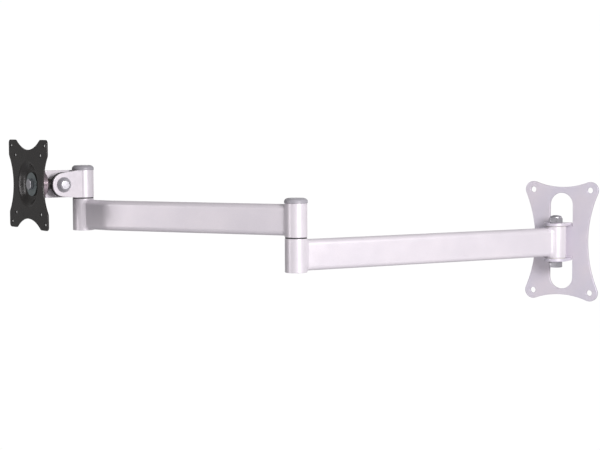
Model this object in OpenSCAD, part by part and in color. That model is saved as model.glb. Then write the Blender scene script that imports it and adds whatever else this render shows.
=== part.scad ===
// Full motion wall mount for a small screen.
// A lobed wall plate carries a two-part swinging arm on vertical pivots.
// The arm ends in a swivelling, tilting and turning display plate.
//
// Frame: the origin is the centre of the wall plate's back face, +Z is up
// and the arm reaches away from the wall towards -Y.
// Yaw angles are measured from straight out of the wall, and are positive
// towards +X, which is counterclockwise seen from above.

/* [Pose] */
// Turn of the rear arm from straight out of the wall, degrees
rear_yaw = -30; // [-90:1:90]
// Turn of the front arm from the rear arm's direction, degrees
elbow_yaw = -51; // [-170:1:170]
// Turn of the head from the front arm's end direction, degrees
head_yaw = 75.5; // [-120:0.5:120]

/* [Wall plate] */
// Distance between the wall screws across the plate
wall_hole_dx = 82; // [80:1:90]
// Distance between the wall screws up the plate
wall_hole_dz = 140; // [136:1:150]
// Diameter of the wall screw holes
wall_hole_d = 8; // [5:0.5:9]
// Radius of the corner lobes around the wall screws
wall_lobe_r = 11.5; // [10:0.5:12.5]
// Width of the plate at its waist
wall_waist_w = 76; // [72:1:80]
// Height of the plate on its centre line
wall_waist_h = 148; // [146:1:152]
// Thickness of the wall plate and of its two ears
wall_t = 4; // [3:0.5:4.5]
// Width of each ear
ear_w = 32; // [30:1:32]
// Height of each opening's outer end above the plate's centre
opening_reach = 66; // [64:1:67]
// Distance from the wall to the first pivot
wall_axis_y = 23; // [22:1:28]

/* [Arms] */
// Distance between the wall pivot and the elbow
rear_length = 400; // [300:10:450]
// Distance between the elbow and the bend in the front arm
front_length = 265; // [200:5:300]
// Distance between the bend and the head pivot
front_end_length = 50; // [45:1:60]
// Angle of the bend near the end of the front arm
front_bend = 17; // [5:1:25]
// Height of the arm tubes
tube_h = 39; // [36:1:40]
// Thickness of the arm tubes
tube_w = 16; // [15:1:18]
// Wall of the arm tubes
tube_wall = 2; // [1.5:0.5:2.5]
// Outer diameter of the pivot sleeves
sleeve_d = 28; // [27:0.5:30]
// Height of the pivot sleeves
sleeve_h = 42; // [42:1:46]

/* [Head] */
// Distance from the head pivot to the tilt pivot
tilt_reach = 33.5; // [33:0.5:36]
// Distance from the head pivot to the display plate's front face
display_reach = 79; // [78:0.5:80]
// Height of the head's own sleeve
bracket_h = 36; // [35:1:38]
// Thickness of the head's cheeks
bracket_t = 3; // [2:0.5:3]
// Side of the display plate
display_w = 115; // [114:1:120]
// Depth of the arcs cut in the display plate's sides
display_arc_depth = 13; // [10:0.5:14]
// Thickness of the display plate
display_t = 2; // [1.5:0.5:2]
// Diameter of the display screw holes
display_hole_d = 5; // [4.5:0.1:5.5]

/* [Hidden] */

$fn = 96;
slip = 0.1;          // gap between faces that slide on each other
run = 0.05;          // radial clearance of a shaft in its bush
cut = 1;             // how far a cutting shape runs past what it cuts

// Colours
silver = [0.80, 0.78, 0.84];
plate_silver = [0.74, 0.71, 0.78];
plated = [0.52, 0.52, 0.56];
cap_grey = [0.55, 0.54, 0.58];
nylon_dark = [0.22, 0.21, 0.23];
nylon_white = [0.88, 0.87, 0.82];
satin_black = [0.13, 0.12, 0.12];
boss_silver = [0.78, 0.70, 0.74];
washer_grey = [0.48, 0.54, 0.55];

// Threaded sizes: shank radius, hexagon across flats, head height, lock nut height
M8 = [4, 13, 5.3, 8];
M10 = [5, 17, 6.4, 9.5];
function shank_r(m) = m[0];
function flats(m) = m[1];
function head_h(m) = m[2];
function nut_h(m) = m[3];

// Heights of the stack of sleeves
sleeve_r = sleeve_d / 2;
sleeve_bore_r = sleeve_r - 3;
tube_corner_r = 7;                   // outer rounding of the arm tubes
washer_h = 1.5;                      // room for a friction washer between sleeves
level = sleeve_h + washer_h;         // height from the rear arm to the front arm
rear_bottom = -sleeve_h / 2;
rear_top = sleeve_h / 2;
front_bottom = rear_top + washer_h;
front_top = front_bottom + sleeve_h;
bracket_bottom = front_top + washer_h;
bracket_top = bracket_bottom + bracket_h;
flange_t = 1;                        // flange of the wall pivot's bushes
ear_inner = rear_top + flange_t;     // inner face of each ear
tilt_z = bracket_bottom + 17.5;      // height of the tilt pivot
screen_rise = 1.5;                   // height of the screen's axis above the tilt pivot
cheek_outer = 12;                    // from the head's middle plane to a cheek's outside
cheek_inner = cheek_outer - bracket_t;
near_cheek_r = 15.5;                 // rounded end of the near cheek
far_cheek_reach = tilt_reach + 16.5; // square end of the far cheek

// Stations along the head, from the head pivot towards the screen
dish_depth = 6.5;
dish_front = display_reach - dish_depth;
dish_back = dish_front - display_t;
boss_front = dish_back - 1;
boss_back = boss_front - 12.5;
washer_front = dish_front + slip + 1.6;
rotation_head_h = 4.2;               // low hexagon head, below the screen's back

dish_r = 29.5;                       // rim of the dish in the display plate
dish_floor_r = 20;
boss_r = 17.3;
spigot_r = 8;                        // the display plate turns on this spigot
drum_r = 9.6;                        // drum of the tilt knuckle
drum_flange_r = 16.3;                // its flange against the near cheek

// ---------------------------------------------------------------- frames

module at_wall_pivot() translate([0, -wall_axis_y, 0]) children();

// +X along the rear arm, origin on the wall pivot
module along_rear_arm()
  at_wall_pivot() rotate([0, 0, rear_yaw - 90]) children();

module at_elbow() along_rear_arm() translate([rear_length, 0, 0]) children();

// +X along the front arm, origin on the elbow pivot
module along_front_arm() at_elbow() rotate([0, 0, elbow_yaw]) children();

// +X along the end of the front arm, origin on the bend
module along_front_end()
  along_front_arm() translate([front_length, 0, 0]) rotate([0, 0, -front_bend]) children();

module at_head_pivot() along_front_end() translate([front_end_length, 0, 0]) children();

// +X from the head pivot towards the screen
module along_head() at_head_pivot() rotate([0, 0, head_yaw]) children();

// Z along the tilt pivot, origin on the pivot and the head's middle plane
module along_tilt_pivot()
  along_head() translate([tilt_reach, 0, tilt_z]) rotate([-90, 0, 0]) children();

// Z from the head pivot towards the screen, through the screen's centre
module along_screen_axis()
  along_head() translate([0, 0, tilt_z + screen_rise]) rotate([0, 90, 0]) children();

// ---------------------------------------------------------------- parts used often

module ring(r_out, r_in, z0, z1)
  translate([0, 0, z0])
    linear_extrude(z1 - z0)
      difference() {
        circle(r_out);
        circle(r_in);
      }

// Hexagon with its outer corners turned off at z = h
module hexagon(m, h) {
  corner_r = flats(m) / 2 / cos(30);
  chamfer = corner_r - flats(m) / 2;
  intersection() {
    cylinder(h = h, r = corner_r, $fn = 6);
    rotate_extrude()
      polygon([
        [0, 0], [corner_r + cut, 0], [corner_r + cut, h - chamfer / 2 - cut / 2],
        [flats(m) / 2, h], [0, h]
      ]);
  }
}

// Hexagon bolt: the underside of its head is at z = 0, its shank runs down
module hex_bolt(m, length, head = 0) {
  height = head > 0 ? head : head_h(m);
  hexagon(m, height);
  translate([0, 0, -length]) cylinder(h = length, r = shank_r(m));
}

// Lock nut with its seat at z = 0 and its collar below
module lock_nut(m) {
  hex_part = nut_h(m) * 0.78;
  collar_r = flats(m) / 2 - 0.7;
  difference() {
    union() {
      mirror([0, 0, 1]) hexagon(m, hex_part);
      translate([0, 0, -nut_h(m)]) cylinder(h = nut_h(m) - hex_part + cut, r = collar_r);
    }
    translate([0, 0, -nut_h(m) - cut]) cylinder(h = nut_h(m) + 2 * cut, r = shank_r(m));
  }
}

// Round cover with a bevelled crown, and a skirt that pushes into a bore
module cover_cap(rim_r, bore_r) {
  crown = 6.2;
  skirt = 4;
  rotate_extrude()
    polygon([
      [0, 3.2], [bore_r - 2, 3.2], [bore_r - 2, -skirt], [bore_r - slip, -skirt],
      [bore_r - slip, 0], [rim_r, 0], [rim_r, crown * 0.45], [rim_r - 1.1, crown * 0.75],
      [rim_r - 3.6, crown], [0, crown]
    ]);
}

// Quarter of a circle about [x, y], as short flats, starting at the given angle
function corner(x, y, r, from) =
  [for (a = [0 : 15 : 90]) [x + r * cos(from + a), y + r * sin(from + a)]];

// Outline of an arm tube with rounded corners, made smaller all round by inset
module arm_outline(inset = 0) {
  r = tube_corner_r - inset;
  w = tube_w / 2 - inset - r;
  h = tube_h / 2 - inset - r;
  polygon(concat(
    corner(w, h, r, 0), corner(-w, h, r, 90),
    corner(-w, -h, r, 180), corner(w, -h, r, 270)
  ));
}

module arm_section()
  difference() {
    arm_outline();
    arm_outline(tube_wall);
  }

// Straight length of tube from x0 to x1
module straight_tube(x0, x1)
  translate([x0, 0, 0])
    rotate([90, 0, 90])
      linear_extrude(x1 - x0) arm_section();

// ---------------------------------------------------------------- wall plate

// Radius of the arc that passes the waist and touches a lobe of radius r.
// The lobe's centre is `along` from the waist's line and `across` past it.
function waist_arc_r(across, along, r) =
  (across * across + along * along - r * r) / (2 * (r + across));

module wall_plate_outline() {
  ax = wall_hole_dx / 2;
  az = wall_hole_dz / 2;
  side_r = waist_arc_r(ax - wall_waist_w / 2, az, wall_lobe_r);
  end_r = waist_arc_r(az - wall_waist_h / 2, ax, wall_lobe_r);
  side_c = [wall_waist_w / 2 + side_r, 0];
  end_c = [0, wall_waist_h / 2 + end_r];
  side_touch = side_c + ([ax, az] - side_c) * side_r / (side_r + wall_lobe_r);
  end_touch = end_c + ([ax, az] - end_c) * end_r / (end_r + wall_lobe_r);
  for (sx = [-1, 1], sz = [-1, 1])
    translate([sx * ax, sz * az]) circle(wall_lobe_r);
  difference() {
    for (sx = [-1, 1], sz = [-1, 1])
      scale([sx, sz])
        polygon([[0, 0], [side_touch.x, 0], side_touch, [ax, az], end_touch, [0, end_touch.y]]);
    for (s = [-1, 1]) {
      translate(s * side_c) circle(side_r, $fn = 360);
      translate(s * end_c) circle(end_r, $fn = 360);
    }
  }
}

bend_r = 2;                              // inner radius at the root of an ear
ear_root = ear_inner - bend_r;           // height where the plate starts to bend
opening_r = ear_w / 2 + 0.5;

// One opening, which is where its ear was cut from, above the centre
module opening() {
  straight = opening_reach - opening_r - ear_root;
  translate([-opening_r, ear_root]) square([2 * opening_r, straight]);
  translate([0, ear_root + straight]) circle(opening_r);
}

// Section of the upper ear across the plate: x is out from the wall, y is up
module ear_section() {
  outer_r = bend_r + wall_t;
  translate([outer_r, ear_root])
    intersection() {
      difference() {
        circle(outer_r);
        circle(bend_r);
      }
      translate([-outer_r, 0]) square(outer_r);
    }
  translate([outer_r, ear_inner]) square([wall_axis_y + ear_w, wall_t]);
}

module ear()
  difference() {
    intersection() {
      translate([-ear_w / 2, 0, 0]) rotate([90, 0, 90]) mirror([1, 0])
        linear_extrude(ear_w) ear_section();
      linear_extrude(2 * ear_inner)
        union() {
          translate([-ear_w / 2, -wall_axis_y]) square([ear_w, wall_axis_y + cut]);
          translate([0, -wall_axis_y]) circle(ear_w / 2);
        }
    }
    at_wall_pivot() cylinder(h = 2 * ear_inner, r = shank_r(M10) + 0.2);
  }

module wall_plate() color(plate_silver) {
  difference() {
    rotate([90, 0, 0])
      linear_extrude(wall_t)
        difference() {
          wall_plate_outline();
          opening();
          mirror([0, 1]) opening();
        }
    for (sx = [-1, 1], sz = [-1, 1])
      translate([sx * wall_hole_dx / 2, cut, sz * wall_hole_dz / 2])
        rotate([90, 0, 0]) cylinder(h = wall_t + 2 * cut, r = wall_hole_d / 2);
  }
  ear();
  mirror([0, 0, 1]) ear();
}

// ---------------------------------------------------------------- wall pivot

ear_outer = ear_inner + wall_t;
clevis_washer_t = 1.6;
clevis_head_h = 7;

// The bolt comes from below: its head and the washer are under the lower ear
module clevis_bolt() color(plated)
  at_wall_pivot() mirror([0, 0, 1]) translate([0, 0, ear_outer + clevis_washer_t])
    hex_bolt(M10, 2 * ear_outer + clevis_washer_t + nut_h(M10) + 0.8, clevis_head_h);

module clevis_washer() color(plated)
  at_wall_pivot() ring(9, shank_r(M10), -ear_outer - clevis_washer_t, -ear_outer);

module clevis_nut() color(plated)
  at_wall_pivot() translate([0, 0, ear_outer]) mirror([0, 0, 1]) lock_nut(M10);

// Two flanged bushes, pushed into the sleeve from above and below
module wall_pivot_bushes() color(nylon_white)
  at_wall_pivot()
    for (flip = [0, 1])
      mirror([0, 0, flip]) {
        ring(sleeve_bore_r, shank_r(M10) + run, rear_top - 12, rear_top);
        ring(sleeve_r - 0.8, shank_r(M10) + run, rear_top, ear_inner - slip);
      }

// ---------------------------------------------------------------- rear arm

module sleeve(z0) ring(sleeve_r, sleeve_bore_r, z0, z0 + sleeve_h);

module rear_arm_tube() color(silver)
  along_rear_arm()
    difference() {
      straight_tube(0, rear_length);
      for (x = [0, rear_length])
        translate([x, 0, -tube_h]) cylinder(h = 2 * tube_h, r = sleeve_r);
    }

module rear_wall_sleeve() color(silver) at_wall_pivot() sleeve(rear_bottom);

module rear_elbow_sleeve() color(silver) at_elbow() sleeve(rear_bottom);

// ---------------------------------------------------------------- elbow pivot

elbow_nut_top = rear_bottom + 16;        // seat of the nut inside the lower sleeve
elbow_head_seat = front_top - 14;        // top of the upper bush
bolt_washer_t = 1.5;

module rear_elbow_bush() color(nylon_white)
  at_elbow() ring(sleeve_bore_r, shank_r(M10) + run, elbow_nut_top, rear_top);

module elbow_friction_washer() color(nylon_dark)
  at_elbow() ring(sleeve_r - 0.5, shank_r(M10) + 0.2, rear_top, front_bottom - slip);

module front_elbow_bush() color(nylon_white)
  at_elbow() ring(sleeve_bore_r, shank_r(M10) + run, front_bottom, elbow_head_seat);

module elbow_bolt_washer() color(plated)
  at_elbow() ring(sleeve_bore_r - 0.5, shank_r(M10), elbow_head_seat + slip,
                  elbow_head_seat + slip + bolt_washer_t);

module elbow_bolt() color(plated) {
  seat = elbow_head_seat + slip + bolt_washer_t;
  at_elbow() translate([0, 0, seat])
    hex_bolt(M10, seat - elbow_nut_top + nut_h(M10) + 1.5);
}

module elbow_nut() color(plated) at_elbow() translate([0, 0, elbow_nut_top]) lock_nut(M10);

module bottom_plug(z0) {
  ring(sleeve_bore_r, sleeve_bore_r - 1.5, z0, z0 + 4);
  translate([0, 0, z0]) cylinder(h = 1.5, r = sleeve_bore_r - 1);
}

module elbow_bottom_plug() color(nylon_dark) at_elbow() bottom_plug(rear_bottom);

module elbow_cap() color(cap_grey)
  at_elbow() translate([0, 0, front_top]) cover_cap(sleeve_r + 0.7, sleeve_bore_r);

// ---------------------------------------------------------------- front arm

front_bend_r = 45;                                          // centre line of the bend
front_bend_half = front_bend_r * tan(front_bend / 2);       // length it takes each side
front_bend_cuts = 3;                                        // mitres that make the bend

// Sector about the bend's centre between two angles from its start
module bend_sector(from, to)
  rotate([0, 0, 90])
    linear_extrude(2 * tube_h, center = true)
      polygon([
        [0, 0],
        [1000 * cos(from), -1000 * sin(from)],
        [1000 * cos(to), -1000 * sin(to)]
      ]);

// The front arm's tube on the arm's own line, with the bend made of mitred lengths
module bent_tube()
  translate([front_length - front_bend_half, -front_bend_r, 0])
    for (i = [0 : front_bend_cuts]) {
      first = i == 0;
      last = i == front_bend_cuts;
      step = front_bend / front_bend_cuts;
      intersection() {
        rotate([0, 0, -i * step])
          translate([0, front_bend_r, 0])
            straight_tube(
              first ? front_bend_half - front_length : -8,
              last ? front_end_length - front_bend_half : 8
            );
        bend_sector(first ? -85 : (i - 0.5) * step, last ? 85 : (i + 0.5) * step);
      }
    }

module front_arm_tube() color(silver)
  translate([0, 0, level])
    difference() {
      along_front_arm() bent_tube();
      at_elbow() translate([0, 0, -tube_h]) cylinder(h = 2 * tube_h, r = sleeve_r);
      at_head_pivot() translate([0, 0, -tube_h]) cylinder(h = 2 * tube_h, r = sleeve_r);
    }

module front_elbow_sleeve() color(silver) at_elbow() sleeve(front_bottom);

module front_head_sleeve() color(silver) at_head_pivot() sleeve(front_bottom);

// ---------------------------------------------------------------- head pivot

head_nut_top = front_bottom + 15.5;      // seat of the nut inside the lower sleeve
head_seat = bracket_top - 12;            // top of the upper sleeve's bush
head_bore_r = sleeve_r - 4.5;

module front_head_bush() color(nylon_white)
  at_head_pivot() ring(sleeve_bore_r, shank_r(M8) + run, head_nut_top, front_top);

module head_friction_washer() color(nylon_dark)
  at_head_pivot() ring(sleeve_r - 0.5, shank_r(M8) + 0.2, front_top, bracket_bottom - slip);

module head_sleeve_bush() color(nylon_white)
  at_head_pivot() ring(head_bore_r, shank_r(M8) + run, bracket_bottom, head_seat);

module head_bolt_washer() color(plated)
  at_head_pivot() ring(head_bore_r - 0.3, shank_r(M8), head_seat + slip,
                       head_seat + slip + bolt_washer_t);

module head_bolt() color(plated) {
  seat = head_seat + slip + bolt_washer_t;
  at_head_pivot() translate([0, 0, seat])
    hex_bolt(M8, seat - head_nut_top + nut_h(M8) + 1.5);
}

module head_nut() color(plated) at_head_pivot() translate([0, 0, head_nut_top]) lock_nut(M8);

module head_bottom_plug() color(nylon_dark) at_head_pivot() bottom_plug(front_bottom);

module head_cap() color(cap_grey)
  at_head_pivot() translate([0, 0, bracket_top]) cover_cap(sleeve_r + 0.4, head_bore_r);

// ---------------------------------------------------------------- head bracket

module head_sleeve() color(silver)
  at_head_pivot() ring(sleeve_r, head_bore_r, bracket_bottom, bracket_top);

// Point where the line from p touches a circle; side is 1 for the left of the line
function touch(p, c, r, side) =
  let (d = c - p, reach = sqrt(d * d - r * r), a = atan2(d.y, d.x) + side * asin(r / norm(d)))
  p + reach * [cos(a), sin(a)];

// Side view of the near cheek: x towards the screen, y up
module near_cheek_side() {
  tip = [tilt_reach, tilt_z];
  low = [sleeve_r, bracket_bottom];
  high = [sleeve_r, bracket_top];
  translate(tip) circle(near_cheek_r);
  polygon([
    [0, bracket_bottom], low, touch(low, tip, near_cheek_r, -1), tip,
    touch(high, tip, near_cheek_r, 1), high, [0, bracket_top]
  ]);
}

// A cheek of the given side view, welded to the sleeve, between two distances
// to the left of the head's middle plane
module cheek(inner, outer)
  difference() {
    along_head()
      difference() {
        translate([0, outer, 0]) rotate([90, 0, 0]) linear_extrude(outer - inner) children();
        cylinder(h = bracket_top + cut, r = sleeve_r);
      }
    along_tilt_pivot() cylinder(h = 4 * sleeve_r, r = shank_r(M8) + 0.2, center = true);
  }

// The near cheek ends round, the far one square
module near_cheek() color(silver) cheek(cheek_inner, cheek_outer) near_cheek_side();

module far_cheek() color(silver)
  cheek(-cheek_outer, -cheek_inner)
    translate([0, bracket_bottom]) square([far_cheek_reach, bracket_h]);

// ---------------------------------------------------------------- tilt pivot
// The bolt's head is on the near side, at the positive end of the pivot.

tilt_washer_t = 1.5;
tilt_head_r = 6.1;                       // round head without a drive
tilt_head_h = 6;
drum_w = 2 * (cheek_inner - slip - tilt_washer_t);
neck_r = drum_w / 2 - 0.2;               // neck, clear of the washers

module tilt_bolt() color(plated)
  along_tilt_pivot() {
    length = 2 * cheek_outer + tilt_washer_t + nut_h(M8) + 1.5;
    edge = 0.7;
    translate([0, 0, cheek_outer]) {
      rotate_extrude()
        polygon([
          [0, 0], [tilt_head_r, 0], [tilt_head_r, tilt_head_h - edge],
          [tilt_head_r - edge, tilt_head_h], [0, tilt_head_h]
        ]);
      translate([0, 0, -length]) cylinder(h = length, r = shank_r(M8));
    }
  }

// Tapered collar round the bolt's head
module tilt_collar() color(cap_grey)
  along_tilt_pivot() translate([0, 0, cheek_outer])
    rotate_extrude()
      polygon([
        [tilt_head_r + run, 0], [10, 0], [10, 0.6], [6.9, tilt_head_h - 0.3],
        [tilt_head_r + run, tilt_head_h - 0.3]
      ]);

module tilt_nut_washer() color(plated)
  along_tilt_pivot() ring(8, shank_r(M8), -cheek_outer - tilt_washer_t, -cheek_outer);

module tilt_nut() color(plated)
  along_tilt_pivot() translate([0, 0, -cheek_outer - tilt_washer_t]) lock_nut(M8);

module tilt_friction_washers() color(nylon_dark)
  along_tilt_pivot() {
    ring(drum_flange_r - 0.3, shank_r(M8) + 0.1, drum_w / 2, drum_w / 2 + tilt_washer_t);
    ring(drum_r - 0.3, shank_r(M8) + 0.1, -drum_w / 2 - tilt_washer_t, -drum_w / 2);
  }

rotation_bolt_end = tilt_reach + 7;      // the bolt stops short of the tilt bolt

// Round drum between the cheeks, with a flange at its near end and a neck
// towards the screen
module tilt_knuckle() color(satin_black)
  difference() {
    union() {
      along_tilt_pivot() {
        cylinder(h = drum_w, r = drum_r, center = true);
        translate([0, 0, drum_w / 2 - 2]) cylinder(h = 2, r = drum_flange_r);
      }
      along_screen_axis()
        translate([0, 0, tilt_reach]) cylinder(h = boss_back - tilt_reach, r = neck_r);
    }
    along_tilt_pivot() cylinder(h = 2 * drum_w, r = shank_r(M8) + run, center = true);
    along_screen_axis()
      translate([0, 0, rotation_bolt_end]) cylinder(h = display_reach, r = shank_r(M8));
  }

// ---------------------------------------------------------------- screen

// Boss behind the display plate, with the spigot that the plate turns on
module rotation_boss() color(boss_silver)
  along_screen_axis()
    rotate_extrude()
      polygon([
        [shank_r(M8), boss_back], [boss_r - 1.6, boss_back],
        [boss_r, boss_back + 1.4], [boss_r, boss_front],
        [spigot_r, boss_front], [spigot_r, dish_front], [shank_r(M8), dish_front]
      ]);

module rotation_friction_washer() color(nylon_dark)
  along_screen_axis() ring(boss_r - 0.8, spigot_r, boss_front, dish_back - slip);

module rotation_washer() color(washer_grey)
  along_screen_axis() ring(15.3, shank_r(M8), dish_front + slip, washer_front);

module rotation_bolt() color(plated)
  along_screen_axis() translate([0, 0, washer_front])
    hex_bolt(M8, washer_front - rotation_bolt_end, rotation_head_h);

// Round of radius r between the outline's edge and a side arc, to be cut away:
// c is the round's centre, and a0 and a1 are the directions of its two ends
module round_off(c, a0, a1, r) {
  far = 2 * r;
  translate(c)
    difference() {
      polygon([
        [0, 0], far * [cos(a0), sin(a0)], 1.2 * far * [cos((a0 + a1) / 2), sin((a0 + a1) / 2)],
        far * [cos(a1), sin(a1)]
      ]);
      circle(r);
    }
}

module display_outline() {
  half = display_w / 2;
  corner_r = 5;
  lobe_w = 20.5;                                   // width of each corner lobe
  chord = half - lobe_w;
  arc_r = (chord * chord + display_arc_depth * display_arc_depth) / (2 * display_arc_depth);
  arc_c = half - display_arc_depth + arc_r;        // centre of a side arc
  soft_r = 6;                                      // round where an arc meets an edge
  soft_c = [sqrt(pow(arc_r + soft_r, 2) - pow(arc_c - half + soft_r, 2)), half - soft_r];
  soft_a = atan2(arc_c - soft_c.y, -soft_c.x);     // direction from the round to the arc
  difference() {
    union() {
      square([display_w, display_w - 2 * corner_r], center = true);
      square([display_w - 2 * corner_r, display_w], center = true);
      for (sx = [-1, 1], sy = [-1, 1])
        translate([sx, sy] * (half - corner_r)) circle(corner_r);
    }
    for (turn = [0:90:270])
      rotate(turn) {
        translate([0, arc_c]) circle(arc_r, $fn = 240);
        for (flip = [0, 1])
          mirror([flip, 0]) round_off(soft_c, 90, soft_a, soft_r);
      }
  }
}

// Stamped dish: section of the sheet from its centre hole to its rim
module dish_section() {
  slope = dish_r - dish_floor_r;
  polygon([
    [spigot_r + run, dish_back], [dish_floor_r - 1, dish_back],
    [dish_floor_r + slope * 0.25, dish_back + 1], [dish_r - slope * 0.2, display_reach - display_t - 0.8],
    [dish_r + 1.2, display_reach - display_t], [dish_r + 1.2, display_reach],
    [dish_r, display_reach], [dish_r - slope * 0.3, display_reach - 1.2],
    [dish_floor_r, dish_front + 0.8], [dish_floor_r - 2, dish_front],
    [spigot_r + run, dish_front]
  ]);
}

module display_plate() color(satin_black)
  along_screen_axis() {
    rotate_extrude() dish_section();
    difference() {
      translate([0, 0, display_reach - display_t])
        linear_extrude(display_t)
          difference() {
            display_outline();
            circle(dish_r + 1);
          }
      for (side = [75, 100], sx = [-1, 1], sy = [-1, 1])
        translate([sx * side / 2, sy * side / 2, 0])
          cylinder(h = display_reach + cut, r = display_hole_d / 2);
    }
  }

// ---------------------------------------------------------------- nodes

wall_plate();
clevis_bolt();
clevis_washer();
clevis_nut();
rear_arm_tube();
rear_wall_sleeve();
rear_elbow_sleeve();
wall_pivot_bushes();
rear_elbow_bush();
elbow_friction_washer();
elbow_bolt();
elbow_bolt_washer();
elbow_nut();
elbow_bottom_plug();
front_arm_tube();
front_elbow_sleeve();
front_head_sleeve();
front_elbow_bush();
elbow_cap();
front_head_bush();
head_friction_washer();
head_bolt();
head_bolt_washer();
head_nut();
head_bottom_plug();
head_sleeve();
near_cheek();
far_cheek();
head_sleeve_bush();
head_cap();
tilt_bolt();
tilt_collar();
tilt_nut();
tilt_nut_washer();
tilt_knuckle();
tilt_friction_washers();
rotation_boss();
rotation_bolt();
rotation_washer();
rotation_friction_washer();
display_plate();
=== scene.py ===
"""Looks of the full motion wall mount: finer meshes, finishes, light and camera."""

from math import atan2, cos, hypot, pi, radians, sin, sqrt, tan

import bmesh
import bpy
from mathutils import Matrix, Vector, noise
from mathutils.geometry import delaunay_2d_cdt


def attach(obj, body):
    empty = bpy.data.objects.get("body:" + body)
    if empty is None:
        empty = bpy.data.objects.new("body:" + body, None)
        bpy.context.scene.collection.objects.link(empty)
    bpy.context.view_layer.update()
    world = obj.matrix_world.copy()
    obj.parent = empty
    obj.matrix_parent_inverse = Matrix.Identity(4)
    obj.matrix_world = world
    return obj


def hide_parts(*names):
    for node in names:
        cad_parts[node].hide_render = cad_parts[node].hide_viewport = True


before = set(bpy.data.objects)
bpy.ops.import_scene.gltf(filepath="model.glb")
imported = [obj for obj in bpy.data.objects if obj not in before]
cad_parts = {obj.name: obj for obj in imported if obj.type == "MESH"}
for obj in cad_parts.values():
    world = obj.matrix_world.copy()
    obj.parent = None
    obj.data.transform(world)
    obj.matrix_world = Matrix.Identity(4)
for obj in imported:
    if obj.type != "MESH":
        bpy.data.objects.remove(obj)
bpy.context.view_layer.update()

# ------------------------------------------------------------------ dimensions
# All in millimetres and degrees, the same as in the CAD model.

REAR_LENGTH = 400
FRONT_LENGTH = 265
FRONT_END = 50
FRONT_BEND = 17
BEND_RADIUS = 45
TILT_REACH = 33.5
TILT_Z = 83.5
SCREEN_Z = 85
SLEEVE_R = 14
SLEEVE_BORE_R = 11
SLEEVE_H = 42
FRONT_BOTTOM = 22.5
FRONT_TOP = FRONT_BOTTOM + SLEEVE_H
BRACKET_BOTTOM = 66
BRACKET_TOP = 102
LEVEL = 43.5
TUBE_H = 39
TUBE_W = 16
WALL_T = 4
CHEEK_INNER = 9
CHEEK_OUTER = 12
EAR_INNER = 22
EAR_OUTER = EAR_INNER + WALL_T
EAR_R = 16
EAR_ROOT = 20
LUG_OUT = 23  # wall to the wall pivot
WALL_SCREW_X, WALL_SCREW_Z, WALL_SCREW_R = 41, 70, 4
DISPLAY_FACE = 79
DISPLAY_T = 2
DISH_DEPTH = 6.5
DISH_FRONT = 72.5
BOSS_BACK = 57
BOSS_FRONT = 69.5
BOSS_R = 17.3
SPIGOT_R = 8
M8, M10 = (4, 13, 1.25), (5, 17, 1.5)  # shank radius, width across flats, pitch


# ------------------------------------------------------------------ frames


def turn(degrees, axis="Z"):
    return Matrix.Rotation(radians(degrees), 4, axis)


def move(x=0.0, y=0.0, z=0.0):
    return Matrix.Translation((x, y, z))


wall_pivot = move(y=-LUG_OUT)
rear_arm = wall_pivot @ turn(-30 - 90)
elbow = rear_arm @ move(REAR_LENGTH)
front_arm = elbow @ turn(-51)
front_end = front_arm @ move(FRONT_LENGTH) @ turn(-FRONT_BEND)
head_pivot = front_end @ move(FRONT_END)
head = head_pivot @ turn(75.5)
tilt_axis = head @ move(TILT_REACH, 0, TILT_Z) @ turn(-90, "X")
screen_axis = head @ move(z=SCREEN_Z) @ turn(90, "Y")
upright = turn(90, "X")  # lays a flat outline's y along z
facing = turn(180)
UPSIDE_DOWN = Matrix.Diagonal((1, 1, -1, 1))


# ------------------------------------------------------------------ mesh makers
# Each returns (points in millimetres, faces).


def rounded(points, radius, closed=True, steps=4):
    """The outline with soft corners. A third number in a point is its own radius."""
    out = []
    count = len(points)
    for i, point in enumerate(points):
        here = Vector(point[:2])
        r = point[2] if len(point) > 2 else radius
        if r == 0 or (not closed and i in (0, count - 1)):
            out.append(here)
            continue
        back = Vector(points[i - 1][:2]) - here
        ahead = Vector(points[(i + 1) % count][:2]) - here
        reach = r / tan(back.angle(ahead) / 2)
        reach = min(reach, back.length * 0.48, ahead.length * 0.48)
        a = here + back.normalized() * reach
        b = here + ahead.normalized() * reach
        for k in range(steps + 1):
            t = k / steps
            out.append(a.lerp(here, t).lerp(here.lerp(b, t), t))
    return out


def bridge(rings, closed):
    """Quads between each ring of point numbers and the next."""
    faces = []
    for a, b in zip(rings, rings[1:] + (rings[:1] if closed else [])):
        for i in range(len(a)):
            j = (i + 1) % len(a)
            corners = [a[i], a[j], b[j], b[i]]
            face = [c for k, c in enumerate(corners) if c != corners[k - 1]]
            if len(face) > 2:
                faces.append(face)
    return faces


def lathe(profile, segments=96, closed=True):
    """Turns a profile of (radius, height) about Z."""
    points, rings = [], []
    for r, z in profile:
        if r < 1e-6:
            rings.append([len(points)] * segments)
            points.append(Vector((0, 0, z)))
        else:
            rings.append(list(range(len(points), len(points) + segments)))
            for i in range(segments):
                a = 2 * pi * i / segments
                points.append(Vector((r * cos(a), r * sin(a), z)))
    return points, bridge(rings, closed)


def ring(r_out, r_in, z0, z1, edge=0.3, segments=96):
    """Washer, bush or sleeve."""
    profile = [(r_in, z0), (r_out, z0), (r_out, z1), (r_in, z1)]
    return lathe(rounded(profile, edge), segments)


def sweep(stations, section, caps=True):
    """Carries a closed (y, z) section along the stations."""
    points, rings = [], []
    for station in stations:
        rings.append(list(range(len(points), len(points) + len(section))))
        points += [station @ Vector((0, y, z)) for y, z in section]
    faces = bridge(rings, False)
    if caps:
        faces += [rings[0][::-1], rings[-1]]
    return points, faces


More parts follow.
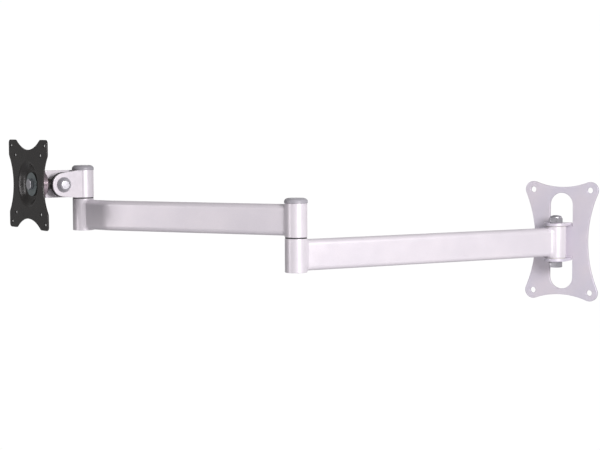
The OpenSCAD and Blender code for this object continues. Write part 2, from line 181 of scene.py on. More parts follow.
def box_section(width, low, high, radius, steps=8):
    """Rounded rectangle centred on y, from z = low to z = high."""
    w = width / 2
    corners = [(-w, low), (w, low), (w, high), (-w, high)]
    centres = [(-w + radius, low + radius), (w - radius, low + radius)]
    centres += [(w - radius, high - radius), (-w + radius, high - radius)]
    out = []
    for k in range(len(corners)):
        for i in range(steps + 1):
            a = pi + pi / 2 * (k + i / steps)
            out.append((centres[k][0] + radius * cos(a), centres[k][1] + radius * sin(a)))
    return out


def arc(centre, radius, start, end, count):
    """Points on a circle from one angle to another, in degrees."""
    angles = [radians(start + (end - start) * i / count) for i in range(count + 1)]
    return [(centre[0] + radius * cos(a), centre[1] + radius * sin(a)) for a in angles]


def circle(x, y, radius, count=48):
    """Clockwise circle, for a hole."""
    return arc((x, y), radius, 360, 0, count)[:-1]


def inside(point, loop):
    """Whether an (x, y) point is in the loop."""
    x, y = point
    hit = False
    for (x0, y0), (x1, y1) in zip(loop, loop[1:] + loop[:1]):
        if (y0 > y) != (y1 > y) and x < (x1 - x0) * (y - y0) / (y1 - y0) + x0:
            hit = not hit
    return hit


def inset(loop, distance):
    """The loop moved to its left by a distance."""
    out = []
    for i, here in enumerate(loop):
        a, b, c = Vector(loop[i - 1]), Vector(here), Vector(loop[(i + 1) % len(loop)])
        one, two = (b - a).normalized(), (c - b).normalized()
        normal = Vector((-one.y - two.y, one.x + two.x)).normalized()
        lean = max(0.5, normal.dot(Vector((-one.y, one.x))))
        out.append(tuple(b + normal * distance / lean))
    return out


def sheet(loops, low, high, edge=0.5, extra=()):
    """Flat or stamped sheet with rounded rims.

    loops are the counterclockwise outline and the clockwise holes; low and high are
    the heights of its two faces, as functions of (x, y); extra are points in between.
    """
    steps = 3
    points, faces, cap_rings = [], [], {}
    for loop in loops:
        rings = []
        for face, way in ((low, 1), (high, -1)):
            side = []
            for k in range(steps + 1):
                a = pi / 2 * k / steps
                flat = inset(loop, edge * (1 - cos(a)))
                start = len(points)
                points += [
                    Vector((x, y, face(x, y) + way * edge * (1 - sin(a)))) for x, y in flat
                ]
                side.append(list(range(start, len(points))))
            cap_rings.setdefault(way, []).append(side[-1])
            rings.append(side)
        faces += bridge(rings[0][::-1] + rings[1], False)
    for way, face in ((1, low), (-1, high)):
        numbers = [n for one in cap_rings[way] for n in one]
        edges, start = [], 0
        for one in cap_rings[way]:
            count = len(one)
            edges += [(start + i, start + (i + 1) % count) for i in range(count)]
            start += count
        holes = [[tuple(points[n].xy) for n in one] for one in cap_rings[way][1:]]
        first = len(points)
        points += [Vector((x, y, face(x, y))) for x, y in extra]
        numbers += list(range(first, len(points)))
        flat = [points[n].xy for n in numbers]
        made = delaunay_2d_cdt(flat, edges, [], 1, 1e-5)
        for triangle in made[2]:
            source = [made[3][i][0] for i in triangle]
            middle = sum((flat[i] for i in source), Vector((0, 0))) / 3
            if not any(inside(middle, hole) for hole in holes):
                face_points = [numbers[i] for i in source]
                faces.append(face_points[::-1] if way > 0 else face_points)
    return points, faces


def level(z):
    return lambda x, y: z


def joined(*parts):
    """Several makers' results as one. A part may be (matrix, points, faces)."""
    points, faces = [], []
    for part in parts:
        matrix = part[0] if len(part) == 3 else Matrix()
        start = len(points)
        points += [matrix @ p for p in part[-2]]
        faces += [[start + i for i in face] for face in part[-1]]
    return points, faces


def placed(matrix, part):
    return (matrix, *part)


def hexagon(flats, z0, z1, chamfers=(False, True)):
    """Hexagon across the flats, with its corners turned off at the ends asked for."""
    segments = 72
    apothem = flats / 2
    limit = apothem / cos(pi / 6) - 0.12
    crown = 0.95 * apothem
    reach = [
        min(apothem / cos((2 * pi * i / segments) % (pi / 3) - pi / 6), limit)
        for i in range(segments)
    ]

    def around(radii, heights):
        angles = [2 * pi * i / segments for i in range(segments)]
        return [Vector((r * cos(a), r * sin(a), z)) for a, r, z in zip(angles, radii, heights)]

    fall = [(r - crown) * tan(pi / 6) for r in reach]
    points = [Vector((0, 0, z0))]
    rows = []
    if chamfers[0]:
        rows.append(around([crown] * segments, [z0] * segments))
        rows.append(around(reach, [z0 + d for d in fall]))
    else:
        rows.append(around(reach, [z0] * segments))
    if chamfers[1]:
        rows.append(around(reach, [z1 - d for d in fall]))
        rows.append(around([crown] * segments, [z1] * segments))
    else:
        rows.append(around(reach, [z1] * segments))
    rings = [[0] * segments]
    for row in rows:
        rings.append(list(range(len(points), len(points) + segments)))
        points += row
    rings.append([len(points)] * segments)
    points.append(Vector((0, 0, z1)))
    return points, bridge(rings, False)


def threaded(radius, z0, z1, pitch):
    """Shank end with a thread cut in it, from z1 down to a chamfer at z0."""
    profile = [(0, z0), (radius - 0.9, z0), (radius - 0.15, z0 + 0.75)]
    z = z0 + 0.75
    while z + pitch < z1:
        profile += [(radius, z + pitch * 0.3), (radius - 0.55, z + pitch * 0.8)]
        z += pitch
    profile += [(radius, z), (radius, z1), (0, z1)]
    return lathe(profile, 48, closed=False)


# ------------------------------------------------------------------ materials


class Finish:
    """A Principled material with procedural detail, in object coordinates."""

    def __init__(self, name, **values):
        self.material = bpy.data.materials.new(name)
        self.material.use_nodes = True
        self.nodes = self.material.node_tree.nodes
        self.links = self.material.node_tree.links
        self.shader = self.nodes["Principled BSDF"]
        self.place = self.nodes.new("ShaderNodeTexCoord").outputs["Object"]
        for socket, value in values.items():
            self.shader.inputs[socket.replace("_", " ")].default_value = value

    def noise(self, scale, detail=3.0, stretch=None):
        node = self.nodes.new("ShaderNodeTexNoise")
        node.inputs["Scale"].default_value = scale
        node.inputs["Detail"].default_value = detail
        place = self.place
        if stretch:
            mapping = self.nodes.new("ShaderNodeMapping")
            mapping.inputs["Scale"].default_value = stretch
            self.links.new(place, mapping.inputs["Vector"])
            place = mapping.outputs["Vector"]
        self.links.new(place, node.inputs["Vector"])
        return node.outputs["Fac"]

    def ramp(self, source, low, high, start=0.35, end=0.65):
        """Maps noise to a colour or grey between low and high."""
        node = self.nodes.new("ShaderNodeValToRGB")
        stops = node.color_ramp.elements
        stops[0].position, stops[1].position = start, end
        for stop, value in zip(stops, (low, high)):
            stop.color = (*value, 1) if isinstance(value, tuple) else (value,) * 3 + (1,)
        self.links.new(source, node.inputs["Fac"])
        return node.outputs["Color"]

    def mix(self, factor, a, b, blend="MIX"):
        node = self.nodes.new("ShaderNodeMix")
        node.data_type = "RGBA"
        node.blend_type = blend
        for name, value in (("Factor_Float", factor), ("A_Color", a), ("B_Color", b)):
            socket = next(s for s in node.inputs if s.identifier == name)
            if isinstance(value, bpy.types.NodeSocket):
                self.links.new(value, socket)
            else:
                socket.default_value = value
        return next(s for s in node.outputs if s.identifier == "Result_Color")

    def color(self, source):
        self.links.new(source, self.shader.inputs["Base Color"])
        return self

    def rough(self, source, low, high):
        self.links.new(self.ramp(source, low, high, 0.3, 0.7), self.shader.inputs["Roughness"])
        return self

    def bump(self, source, strength, depth):
        node = self.nodes.new("ShaderNodeBump")
        node.inputs["Strength"].default_value = strength
        node.inputs["Distance"].default_value = depth
        self.links.new(source, node.inputs["Height"])
        if self.shader.inputs["Normal"].is_linked:
            before = self.shader.inputs["Normal"].links[0].from_socket
            self.links.new(before, node.inputs["Normal"])
        self.links.new(node.outputs["Normal"], self.shader.inputs["Normal"])
        return self


def metallic_paint(name, light, dark, roughness):
    """Silver powder coat: fine flakes, faint orange peel and soft patches."""
    f = Finish(name, Metallic=0.22, Specular_IOR_Level=0.5, Coat_Weight=0.15, Coat_Roughness=0.22)
    patches = f.ramp(f.noise(22, 2), dark, light)
    flakes = f.ramp(f.noise(3800, 1), 0.86, 1.0, 0.42, 0.58)
    f.color(f.mix(1.0, patches, flakes, "MULTIPLY"))
    f.rough(f.noise(60, 3), roughness - 0.04, roughness + 0.05)
    f.bump(f.noise(900, 2), 0.12, 0.0001)
    return f.material


def black_paint(name, tone, roughness):
    """Satin black coat with a fine texture, a little dust and rubbed patches."""
    f = Finish(name, Metallic=0.0, Specular_IOR_Level=0.7)
    dust = f.noise(45, 4)
    deep = tuple(c * 0.75 for c in tone)
    f.color(f.ramp(dust, deep, tone, 0.3, 0.75))
    f.rough(f.noise(120, 3), roughness - 0.06, roughness + 0.08)
    f.bump(f.noise(1400, 2), 0.35, 0.0001)
    return f.material


def bright_metal(name, light, dark, roughness, brushed=(1, 1, 1)):
    """Plated or turned steel with faint tool marks."""
    f = Finish(name, Metallic=1.0)
    f.color(f.ramp(f.noise(70, 3), dark, light))
    f.rough(f.noise(500, 3, brushed), roughness - 0.07, roughness + 0.09)
    f.bump(f.noise(1600, 2, brushed), 0.08, 0.0001)
    return f.material


def moulded(name, light, dark, roughness, texture=0.3):
    """Moulded plastic with a spark-eroded texture."""
    f = Finish(name, Metallic=0.0, Specular_IOR_Level=0.5)
    f.color(f.ramp(f.noise(90, 3), dark, light))
    f.rough(f.noise(200, 2), roughness - 0.05, roughness + 0.06)
    f.bump(f.noise(2200, 2), texture, 0.0001)
    return f.material


FINISHES = {
    "arm_paint": metallic_paint("arm_paint", (0.79, 0.74, 0.79), (0.75, 0.705, 0.76), 0.34),
    "plate_paint": metallic_paint("plate_paint", (0.71, 0.655, 0.72), (0.655, 0.62, 0.71), 0.38),
    "plated_steel": bright_metal("plated_steel", (0.70, 0.68, 0.72), (0.60, 0.59, 0.63), 0.38),
    "dark_nylon": moulded("dark_nylon", (0.035, 0.033, 0.036), (0.022, 0.021, 0.023), 0.5),
    "white_nylon": moulded("white_nylon", (0.74, 0.73, 0.68), (0.68, 0.66, 0.60), 0.45, 0.15),
    "cap_plastic": moulded("cap_plastic", (0.37, 0.355, 0.39), (0.33, 0.32, 0.35), 0.34),
    "black_paint": black_paint("black_paint", (0.016, 0.0120, 0.0112), 0.26),
    "boss_metal": bright_metal("boss_metal", (0.50, 0.41, 0.45), (0.42, 0.34, 0.38), 0.26),
    "washer_steel": bright_metal("washer_steel", (0.36, 0.40, 0.41), (0.28, 0.32, 0.33), 0.36),
}


# ------------------------------------------------------------------ pieces


def piece(name, part, place, body, slot, stands_for=(), smooth=50):
    """A finer mesh that rides on a body and stands for CAD nodes."""
    points, faces = part
    mesh = bpy.data.meshes.new(name)
    mesh.from_pydata([(place @ p) * 0.001 for p in points], [], faces)
    work = bmesh.new()
    work.from_mesh(mesh)
    bmesh.ops.recalc_face_normals(work, faces=work.faces)
    work.to_mesh(mesh)
    work.free()
    mesh.polygons.foreach_set("use_smooth", [True] * len(mesh.polygons))
    mesh.set_sharp_from_angle(angle=radians(smooth))
    mesh.materials.append(FINISHES[slot])
    obj = bpy.data.objects.new(name, mesh)
    bpy.context.scene.collection.objects.link(obj)
    weighted = obj.modifiers.new("weighted normals", "WEIGHTED_NORMAL")
    weighted.keep_sharp = True
    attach(obj, body)
    if stands_for:
        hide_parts(*stands_for)
    return obj


# Wall plate: four lobes joined by shallow arcs, two openings, two folded ears


def lobed_outline(half_x, half_z, lobe_r, waist_x, waist_z):
    """Counterclockwise outline through four lobes and the arcs between them."""

    def waist(across, along):
        return (across**2 + along**2 - lobe_r**2) / (2 * (lobe_r + across))

    side_r = waist(half_x - waist_x, half_z)
    end_r = waist(half_z - waist_z, half_x)
    side_a = atan2(half_z, half_x - waist_x - side_r)  # from the side arc's centre
    end_a = atan2(half_z - waist_z - end_r, half_x)  # from the end arc's centre
    quarter = []
    sweep_side = pi - side_a
    for i in range(17):
        a = pi - sweep_side * i / 16
        quarter.append((waist_x + side_r + side_r * cos(a), side_r * sin(a)))
    start, end = side_a - pi, end_a + pi
    for i in range(1, 36):
        a = start + (end - start) * i / 36
        quarter.append((half_x + lobe_r * cos(a), half_z + lobe_r * sin(a)))
    sweep_end = end_a + pi / 2
    for i in range(17):
        a = end_a - sweep_end * i / 16
        quarter.append((end_r * cos(a), waist_z + end_r + end_r * sin(a)))
    out = []
    for flip_x, flip_z in ((1, 1), (-1, 1), (-1, -1), (1, -1)):
        part = [(x * flip_x, z * flip_z) for x, z in quarter]
        out += part[:-1] if flip_x * flip_z > 0 else part[::-1][:-1]
    return out


def wall_plate():
    def opening(way):
        half = EAR_R + 0.5
        top = 66 - half
        loop = [(half, EAR_ROOT), *arc((0, top), half, 0, 180, 36), (-half, EAR_ROOT)]
        loop = [(x, z * way) for x, z in loop]
        return loop[::-1] if way > 0 else loop

    holes = [
        circle(x, z, WALL_SCREW_R, 40)
        for x in (-WALL_SCREW_X, WALL_SCREW_X) for z in (-WALL_SCREW_Z, WALL_SCREW_Z)
    ]
    outline = lobed_outline(WALL_SCREW_X, WALL_SCREW_Z, 11.5, 38, 74)
    loops = [outline, opening(1), opening(-1), *holes]
    # the outline lies in x and z; a sheet's own height is along -y
    rim = 0.55
    plate = sheet(loops, level(0.0), level(WALL_T), rim)

    fold_r = 2  # inside the fold at an ear's root
    middle = fold_r + WALL_T / 2
    centre = -fold_r - WALL_T
    section = box_section(WALL_T + 0.02, -EAR_R, EAR_R, rim, 4)
    stations = [move(0, -WALL_T / 2, EAR_ROOT - 1.2)]
    for i in range(13):
        a = 90 * i / 12
        stations.append(
            move(0, centre + middle * cos(radians(a)), EAR_ROOT + middle * sin(radians(a)))
        )
    stations.append(move(0, centre - 1.2, EAR_INNER + WALL_T / 2))
    # at each station X runs along the strip, Y through it and Z across it
    headings = [90] + [90 + 90 * i / 12 for i in range(13)] + [180]
    across = Matrix(((0, 0, 1, 0), (1, 0, 0, 0), (0, 1, 0, 0), (0, 0, 0, 1)))
    stations = [s @ across @ turn(h) for s, h in zip(stations, headings)]
    fold = sweep(stations, section)
    tip = arc((0, -LUG_OUT), EAR_R, 180, 360, 48)
    loops = [[(EAR_R, centre), (-EAR_R, centre), *tip], circle(0, -LUG_OUT, 5.2)]
    ear = sheet(loops, level(EAR_INNER), level(EAR_OUTER), rim)
    return joined(
        placed(upright, plate), fold, ear, placed(UPSIDE_DOWN, fold), placed(UPSIDE_DOWN, ear)
    )


piece("wall_plate_sheet", wall_plate(), Matrix(), "wall_bracket", "plate_paint", ["wall_plate"])


def shank(radius, low, high=0.5):
    """Plain part of a bolt's shank."""
    return lathe([(0, low), (radius, low), (radius, high), (0, high)], 64, False)


def hex_bolt(size, length, head_h, thread=14):
    """Bolt that points down from the seat at z = 0."""
    shank_r, flats, pitch = size
    return joined(
        hexagon(flats, 0.4, head_h),
        ring(flats / 2 - 0.3, shank_r - 0.5, 0, 0.5, 0.1),
        shank(shank_r, -length + thread),
        threaded(shank_r, -length, -length + thread, pitch),
    )


def lock_nut(size, height):
    """Nut that hangs from the seat at z = 0, with its nylon ring's collar."""
    shank_r, flats, _ = size
    hex_h = height * 0.72
    collar = [
        (shank_r, -height + 0.6), (shank_r + 1.2, -height), (flats / 2 - 2.0, -height),
        (flats / 2 - 0.7, -height + 1.2), (flats / 2 - 0.7, -hex_h + 0.6), (shank_r, -hex_h + 0.6),
    ]
    return joined(hexagon(flats, -hex_h, 0, (True, True)), lathe(rounded(collar, 0.25), 72))


CLEVIS_WASHER = 1.6

clevis_bottom = wall_pivot @ move(z=-EAR_OUTER - CLEVIS_WASHER) @ UPSIDE_DOWN
piece("clevis_bolt_turned", hex_bolt(M10, 2 * EAR_OUTER + CLEVIS_WASHER + 10.3, 7),
      clevis_bottom, "wall_bracket", "plated_steel", ["clevis_bolt"], 28)
piece("clevis_washer_turned", ring(9, 5, -EAR_OUTER - CLEVIS_WASHER, -EAR_OUTER, 0.35),
      wall_pivot, "wall_bracket", "plated_steel", ["clevis_washer"])
piece("clevis_nut_turned", lock_nut(M10, 9.5), wall_pivot @ move(z=EAR_OUTER) @ UPSIDE_DOWN,
      "wall_bracket", "plated_steel", ["clevis_nut"], 28)

bush = ring(SLEEVE_R - 0.8, 5.05, 21, 21.9, 0.25)
piece("wall_pivot_bush_flanges", joined(bush, placed(UPSIDE_DOWN, bush)),
      wall_pivot, "rear_arm", "white_nylon", ["wall_pivot_bushes"])


# Arm tubes: each ends inside the wall of its sleeve


TUBE_END = 11.3
tube_section = box_section(TUBE_W, -TUBE_H / 2, TUBE_H / 2, 7, 10)


def straight(line, x0, x1, count):
    """Stations along the X of a frame."""
    return [line @ move(x0 + (x1 - x0) * i / count) for i in range(count + 1)]


rear_stations = straight(rear_arm, TUBE_END, REAR_LENGTH - TUBE_END, 12)
piece("rear_arm_tube_smooth", sweep(rear_stations, tube_section), Matrix(),
      "rear_arm", "arm_paint", ["rear_arm_tube"])

half_bend = BEND_RADIUS * tan(radians(FRONT_BEND / 2))
front_stations = straight(front_arm, TUBE_END, FRONT_LENGTH - half_bend, 8)
bend_centre = front_arm @ move(FRONT_LENGTH - half_bend, -BEND_RADIUS)
front_stations += [
    bend_centre @ turn(-FRONT_BEND * i / 12) @ move(0, BEND_RADIUS) for i in range(1, 12)
]
front_stations += straight(front_end, half_bend, FRONT_END - TUBE_END, 3)
piece("front_arm_tube_smooth", sweep(front_stations, tube_section), move(z=LEVEL),
      "front_arm", "arm_paint", ["front_arm_tube"])


def sleeve(z0):
    return ring(SLEEVE_R, SLEEVE_BORE_R, z0, z0 + SLEEVE_H, 0.7, 128)


for name, place, z0, body in (
    ("rear_wall_sleeve", wall_pivot, -21, "rear_arm"),
    ("rear_elbow_sleeve", elbow, -21, "rear_arm"),
    ("front_elbow_sleeve", elbow, FRONT_BOTTOM, "front_arm"),
    ("front_head_sleeve", head_pivot, FRONT_BOTTOM, "front_arm"),
):
    piece(name + "_turned", sleeve(z0), place, body, "arm_paint", [name])


def weld(size, seed):
    """Concave fillet round a tube where it meets a sleeve, on the sleeve's axis."""
    spacing, limit = 0.8, 20.2  # limit keeps it within the sleeve's height
    path = []
    for i, (y, z) in enumerate(tube_section):
        ahead = tube_section[(i + 1) % len(tube_section)]
        side = Vector((ahead[0] - y, ahead[1] - z))
        if side.length > 1e-6:
            out = Vector((side.y, -side.x)).normalized()
            count = 1 + int(side.length / spacing)
            path += [(Vector((y, z)) + side * (k / count), out) for k in range(count)]
    rings, points = [], []
    for i, (here, out) in enumerate(path):
        ripple = 1 + 0.04 * sin(i * 1.9) + 0.2 * noise.noise(Vector((i * 0.21, seed, 0)))
        w = size * ripple
        profile = (
            (w, -0.4), (w, 0.02), (w * 0.42, w * 0.1), (w * 0.1, w * 0.42),
            (0.02, w), (-0.6, w), (-1, -0.4),
        )
        rings.append(list(range(len(points), len(points) + len(profile))))
        for along, up in profile:
            y, z = here + out * up
            z = max(-limit, min(limit, z))
            points.append(Vector((sqrt(SLEEVE_R**2 - y * y) + along, y, z)))
    return points, bridge(rings, True)


for name, place, z, body, seed in (
    ("rear_wall_weld", wall_pivot @ turn(-120), 0, "rear_arm", 1),
    ("rear_elbow_weld", elbow @ facing, 0, "rear_arm", 2),
    ("front_elbow_weld", front_arm, LEVEL, "front_arm", 3),
    ("front_head_weld", head_pivot @ facing, LEVEL, "front_arm", 4),
):
    piece(name, weld(2.2, seed), place @ move(z=z), body, "arm_paint", smooth=80)


# Elbow and head pivots


def cover_cap(rim_r, bore_r):
    """Domed cap that plugs into a bore, its rim on z = 0."""
    crown = 6.2
    profile = [
        (0, -4), (bore_r - 0.2, -4), (bore_r - 0.2, 0), (rim_r - 0.2, 0, 0.3), (rim_r, 0.4, 0.3),
        (rim_r, crown * 0.45, 0.9), (rim_r - 1.1, crown * 0.75, 0.9),
        (rim_r - 3.6, crown, 1.6), (rim_r * 0.4, crown, 2), (0, crown),
    ]
    return lathe(rounded(profile, 0.3, closed=False, steps=5), 128, closed=False)


piece("elbow_cap_moulded", cover_cap(SLEEVE_R + 0.7, SLEEVE_BORE_R), elbow @ move(z=FRONT_TOP),
      "front_arm", "cap_plastic", ["elbow_cap"])
piece("head_cap_moulded", cover_cap(SLEEVE_R + 0.4, 9.5), head_pivot @ move(z=BRACKET_TOP),
      "head", "cap_plastic", ["head_cap"])
piece("elbow_friction_washer_cut", ring(SLEEVE_R - 0.5, 5.2, 21, 22.4, 0.25), elbow,
      "rear_arm", "dark_nylon", ["elbow_friction_washer"])
piece("head_friction_washer_cut", ring(SLEEVE_R - 0.5, 4.2, 64.5, 65.9, 0.25), head_pivot,
      "front_arm", "dark_nylon", ["head_friction_washer"])


def cheeks():
    """The outlines of the near cheek, which ends round, and of the far, square one."""
    tip, round_r = Vector((TILT_REACH, TILT_Z)), 15.5

    def touch(start, side):
        """Angle about the tip where the line from start touches the cheek's end."""
        gap = tip - start
        reach = sqrt(gap.length_squared - round_r**2)
        a = atan2(gap.y, gap.x) + side * atan2(round_r, reach)
        at = start + reach * Vector((cos(a), sin(a))) - tip
        return atan2(at.y, at.x)

    end, corner_r = TILT_REACH + 15.3, 1.2
    a0 = touch(Vector((SLEEVE_R, BRACKET_BOTTOM)), -1) * 180 / pi
    a1 = touch(Vector((SLEEVE_R, BRACKET_TOP)), 1) * 180 / pi
    near = [(SLEEVE_R, BRACKET_BOTTOM), *arc(tip, round_r, a0, a1, 40), (SLEEVE_R, BRACKET_TOP)]
    far = [
        *arc((end, BRACKET_BOTTOM + corner_r), corner_r, 270, 360, 6),
        *arc((end, BRACKET_TOP - corner_r), corner_r, 0, 90, 6),
    ]
    return near, far


def cheek(outline, y0, y1):
    """A cheek between two distances from the middle plane, its root in the sleeve's wall."""
    root = 6.8
    root_edge = [(root, BRACKET_TOP - 0.1), (root, BRACKET_BOTTOM + 0.1)]
    hole = circle(TILT_REACH, TILT_Z, 4.2, 32)
    return sheet([outline + root_edge, hole], level(-y1), level(-y0), 0.6)


near_outline, far_outline = cheeks()
piece("near_cheek_cut", cheek(near_outline, CHEEK_INNER, CHEEK_OUTER), head @ upright,
      "head", "arm_paint", ["near_cheek"])
piece("far_cheek_cut", cheek(far_outline, -CHEEK_OUTER, -CHEEK_INNER), head @ upright,
      "head", "arm_paint", ["far_cheek"])
piece("head_sleeve_turned", ring(SLEEVE_R, 9.5, BRACKET_BOTTOM, BRACKET_TOP, 0.5, 128),
      head_pivot, "head", "arm_paint", ["head_sleeve"])


# Tilt pivot


collar = [(6.2, 0.05), (9.95, 0.05, 0.1), (9.95, 0.6, 0.3), (6.95, 5.65, 0.25), (6.2, 5.65, 0.15)]
piece("tilt_collar_moulded", lathe(rounded(collar, 0.1), 96), tilt_axis @ move(z=CHEEK_OUTER),
      "head", "cap_plastic", ["tilt_collar"])
round_head = [(0, 0), (6.1, 0, 0.2), (6.1, 6, 1.0), (0, 6)]
tilt_bolt = joined(
    lathe(rounded(round_head, 0.2, closed=False), 72, closed=False),
    shank(4, -24),
    threaded(4, -35, -24, 1.25),
)
piece("tilt_bolt_turned", tilt_bolt, tilt_axis @ move(z=CHEEK_OUTER),
      "head", "plated_steel", ["tilt_bolt"], 28)
piece("tilt_nut_washer_turned", ring(8, 4, -CHEEK_OUTER - 1.5, -CHEEK_OUTER, 0.3), tilt_axis,
      "head", "plated_steel", ["tilt_nut_washer"])
piece("tilt_nut_turned", lock_nut(M8, 8), tilt_axis @ move(z=-CHEEK_OUTER - 1.5),
      "head", "plated_steel", ["tilt_nut"], 28)

DRUM_R, FLANGE_R, DRUM_HALF = 9.6, 16.3, 7.4
washers = joined(
    ring(FLANGE_R - 0.3, 4.1, DRUM_HALF, DRUM_HALF + 1.5, 0.25),
    ring(DRUM_R - 0.3, 4.1, -DRUM_HALF - 1.5, -DRUM_HALF, 0.25),
)
piece("tilt_friction_washers_cut", washers, tilt_axis, "tilt_head", "dark_nylon",
      ["tilt_friction_washers"])


def tilt_knuckle():
    """Flanged drum between the cheeks, with a neck towards the screen."""
    flange = DRUM_HALF - 2
    drum = [
        (4.05, -DRUM_HALF), (DRUM_R, -DRUM_HALF), (DRUM_R, flange, 0.01),
        (FLANGE_R, flange, 0.6), (FLANGE_R, DRUM_HALF, 0.6), (4.05, DRUM_HALF),
    ]
    neck_r, neck_start, neck_end = 7.2, 34, BOSS_BACK - 0.1
    neck = [(0, neck_start), (neck_r, neck_start, 0), (neck_r, neck_end, 0.2), (0, neck_end)]
    return joined(
        placed(screen_axis.inverted() @ tilt_axis, lathe(rounded(drum, 0.9), 96)),
        lathe(rounded(neck, 0.3, closed=False), 72, closed=False),
    )


piece("tilt_knuckle_cast", tilt_knuckle(), screen_axis,
      "tilt_head", "black_paint", ["tilt_knuckle"])


# Plate rotation

boss = [
    (4, BOSS_BACK), (BOSS_R - 1.7, BOSS_BACK, 0.5), (BOSS_R, BOSS_BACK + 1.5, 0.6),
    (BOSS_R, BOSS_FRONT, 0.5), (SPIGOT_R, BOSS_FRONT, 0),
    (SPIGOT_R, DISH_FRONT, 0.2), (4, DISH_FRONT),
]
piece("rotation_boss_turned", lathe(rounded(boss, 0.4), 128), screen_axis,
      "tilt_head", "boss_metal", ["rotation_boss"])
piece("rotation_friction_washer_cut", ring(16.5, SPIGOT_R, BOSS_FRONT, BOSS_FRONT + 0.9, 0.2),
      screen_axis, "tilt_head", "dark_nylon", ["rotation_friction_washer"])
piece("rotation_washer_turned", ring(15.3, 4, DISH_FRONT + 0.1, DISH_FRONT + 1.7, 0.4, 128),
      screen_axis, "tilt_head", "washer_steel", ["rotation_washer"])
piece("rotation_bolt_turned", hex_bolt(M8, 33.2, 4.2), screen_axis @ move(z=DISH_FRONT + 1.7),
      "tilt_head", "plated_steel", ["rotation_bolt"], 28)


# Display plate


def display_outline():
    """Square with rounded corners and a shallow arc cut in each side."""
    half, corner_r, depth, soft_r = 57.5, 5, 13, 6
    chord = half - 20.5
    arc_r = (chord**2 + depth**2) / (2 * depth)
    centre = half - depth + arc_r
    soft_x = sqrt((arc_r + soft_r) ** 2 - (centre - half + soft_r) ** 2)
    soft = (soft_x, half - soft_r)
    lean = atan2(centre - soft[1], -soft[0]) * 180 / pi  # from the round to the arc's centre
    side = arc((half - corner_r, half - corner_r), corner_r, 0, 90, 10)
    side += arc(soft, soft_r, 90, lean, 10)
    to_soft = atan2(soft[1] - centre, soft[0]) * 180 / pi
    side += arc((0, centre), arc_r, to_soft, -180 - to_soft, 40)[1:-1]
    side += [(-x, y) for x, y in arc(soft, soft_r, 90, lean, 10)][::-1]
    out = []
    for quarter in range(4):
        spin = Matrix.Rotation(pi / 2 * quarter, 2)
        out += [tuple(spin @ Vector(p)) for p in side]
    return out


def dish(x, y):
    """How far the stamped dish lies behind the plate's face."""
    rim_r, wall = 30.4, 11.6
    t = min(max((rim_r - hypot(x, y)) / wall, 0), 1)
    return DISH_DEPTH * t * t * (3 - 2 * t)


def display_plate():
    def face(x, y):
        return DISPLAY_FACE - dish(x, y)

    def back(x, y):
        r = max(hypot(x, y), 1e-6)
        step = 0.05 / r
        slope = (dish(x + x * step, y + y * step) - dish(x - x * step, y - y * step)) / 0.1
        return face(x, y) - DISPLAY_T * sqrt(1 + slope * slope)

    holes = [
        circle(sx * side / 2, sy * side / 2, 2.5, 32)
        for side in (75, 100) for sx in (-1, 1) for sy in (-1, 1)
    ]
    rings = [
        (r * cos(2 * pi * i / 96), r * sin(2 * pi * i / 96))
        for r in [10, 14, 17, 18.4] + [18.8 + 0.725 * k for k in range(17)] + [31.5]
        for i in range(96)
    ]
    return sheet([display_outline(), circle(0, 0, 8.05, 64), *holes], back, face, 0.25, rings)


piece("display_plate_stamped", display_plate(), screen_axis, "display", "black_paint",
      ["display_plate"])


# Pieces inside the pivots keep their CAD mesh
for slot, nodes in {
    "white_nylon": ("rear_elbow_bush", "front_elbow_bush", "front_head_bush", "head_sleeve_bush"),
    "plated_steel": (
        "elbow_bolt", "elbow_bolt_washer", "elbow_nut", "head_bolt", "head_bolt_washer", "head_nut",
    ),
    "dark_nylon": ("elbow_bottom_plug", "head_bottom_plug"),
}.items():
    for name in nodes:
        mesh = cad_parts[name].data
        mesh.materials.clear()
        mesh.materials.append(FINISHES[slot])


# ------------------------------------------------------------------ studio


def plain(name, color):
    material = bpy.data.materials.new(name)
    material.use_nodes = True
    shader = material.node_tree.nodes["Principled BSDF"]
    shader.inputs["Base Color"].default_value = (*color, 1)
    shader.inputs["Roughness"].default_value = 0.9
    shader.inputs["Specular IOR Level"].default_value = 0.1
    return material


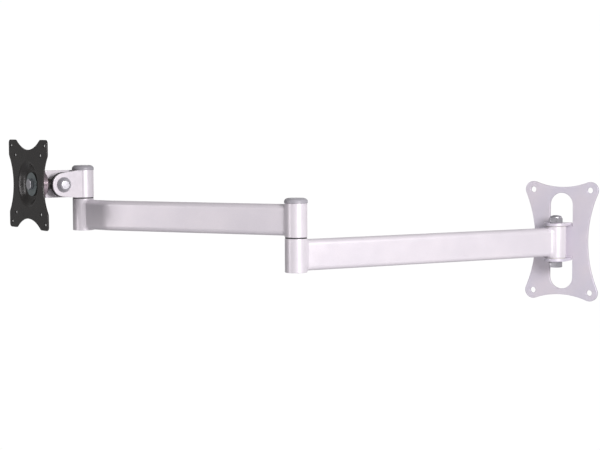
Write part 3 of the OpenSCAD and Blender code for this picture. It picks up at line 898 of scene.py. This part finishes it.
# The floor ends a little way behind the mount, where the pale backdrop takes over
floor_mesh = bpy.data.meshes.new("floor")
corners = [(-9, -9), (9, -9), (9, 0.5), (-9, 0.5)]
floor_mesh.from_pydata([turn(32) @ Vector((x, y, -0.42)) for x, y in corners], [], [(0, 1, 2, 3)])
floor_mesh.materials.append(plain("floor", (0.65, 0.65, 0.66)))
floor = bpy.data.objects.new("floor", floor_mesh)
bpy.context.scene.collection.objects.link(floor)

# A pale backdrop on the side behind the mount, and dim soft light from all others
world = bpy.data.worlds.new("studio")
bpy.context.scene.world = world
world.use_nodes = True
nodes, links = world.node_tree.nodes, world.node_tree.links
nodes["Background"].inputs["Color"].default_value = (1.0, 1.0, 1.0, 1)
side = nodes.new("ShaderNodeVectorMath")
side.operation = "DOT_PRODUCT"
side.inputs[1].default_value = (-0.53, 0.85, 0)
links.new(nodes.new("ShaderNodeTexCoord").outputs["Generated"], side.inputs[0])
fade = nodes.new("ShaderNodeMapRange")
fade.interpolation_type = "SMOOTHSTEP"
for name, value in {"From Min": 0.84, "From Max": 0.925, "To Min": 0.27, "To Max": 1.02}.items():
    fade.inputs[name].default_value = value
links.new(side.outputs["Value"], fade.inputs["Value"])
links.new(fade.outputs["Result"], nodes["Background"].inputs["Strength"])


def soft_light(name, place, target, size, power, color):
    data = bpy.data.lights.new(name, "AREA")
    data.shape = "RECTANGLE"
    data.size, data.size_y = size
    data.energy = power
    data.color = color
    light = bpy.data.objects.new(name, data)
    light.location = place
    light.rotation_euler = (Vector(target) - Vector(place)).to_track_quat("-Z", "Y").to_euler()
    bpy.context.scene.collection.objects.link(light)


soft_light("key", (1.15, -1.00, 0.45), (-0.15, -0.25, 0), (0.6, 0.6), 27, (1.0, 0.985, 0.995))
soft_light("fill", (-1.10, -1.66, 0.12), (-0.5, -0.4, 0.05), (0.26, 1.2), 4.5, (1.0, 0.97, 0.985))

camera_data = bpy.data.cameras.new("camera")
camera_data.lens = 85.0
camera_data.sensor_width = 36.0
camera_data.clip_end = 50
camera = bpy.data.objects.new("camera", camera_data)
camera.matrix_world = (
    move(0.72769, -1.83900, 0.15984) @ turn(32.10) @ turn(90 - 4.03, "X") @ turn(-0.213)
)
bpy.context.scene.collection.objects.link(camera)
bpy.context.scene.camera = camera
bpy.context.scene.view_settings.view_transform = "Standard"
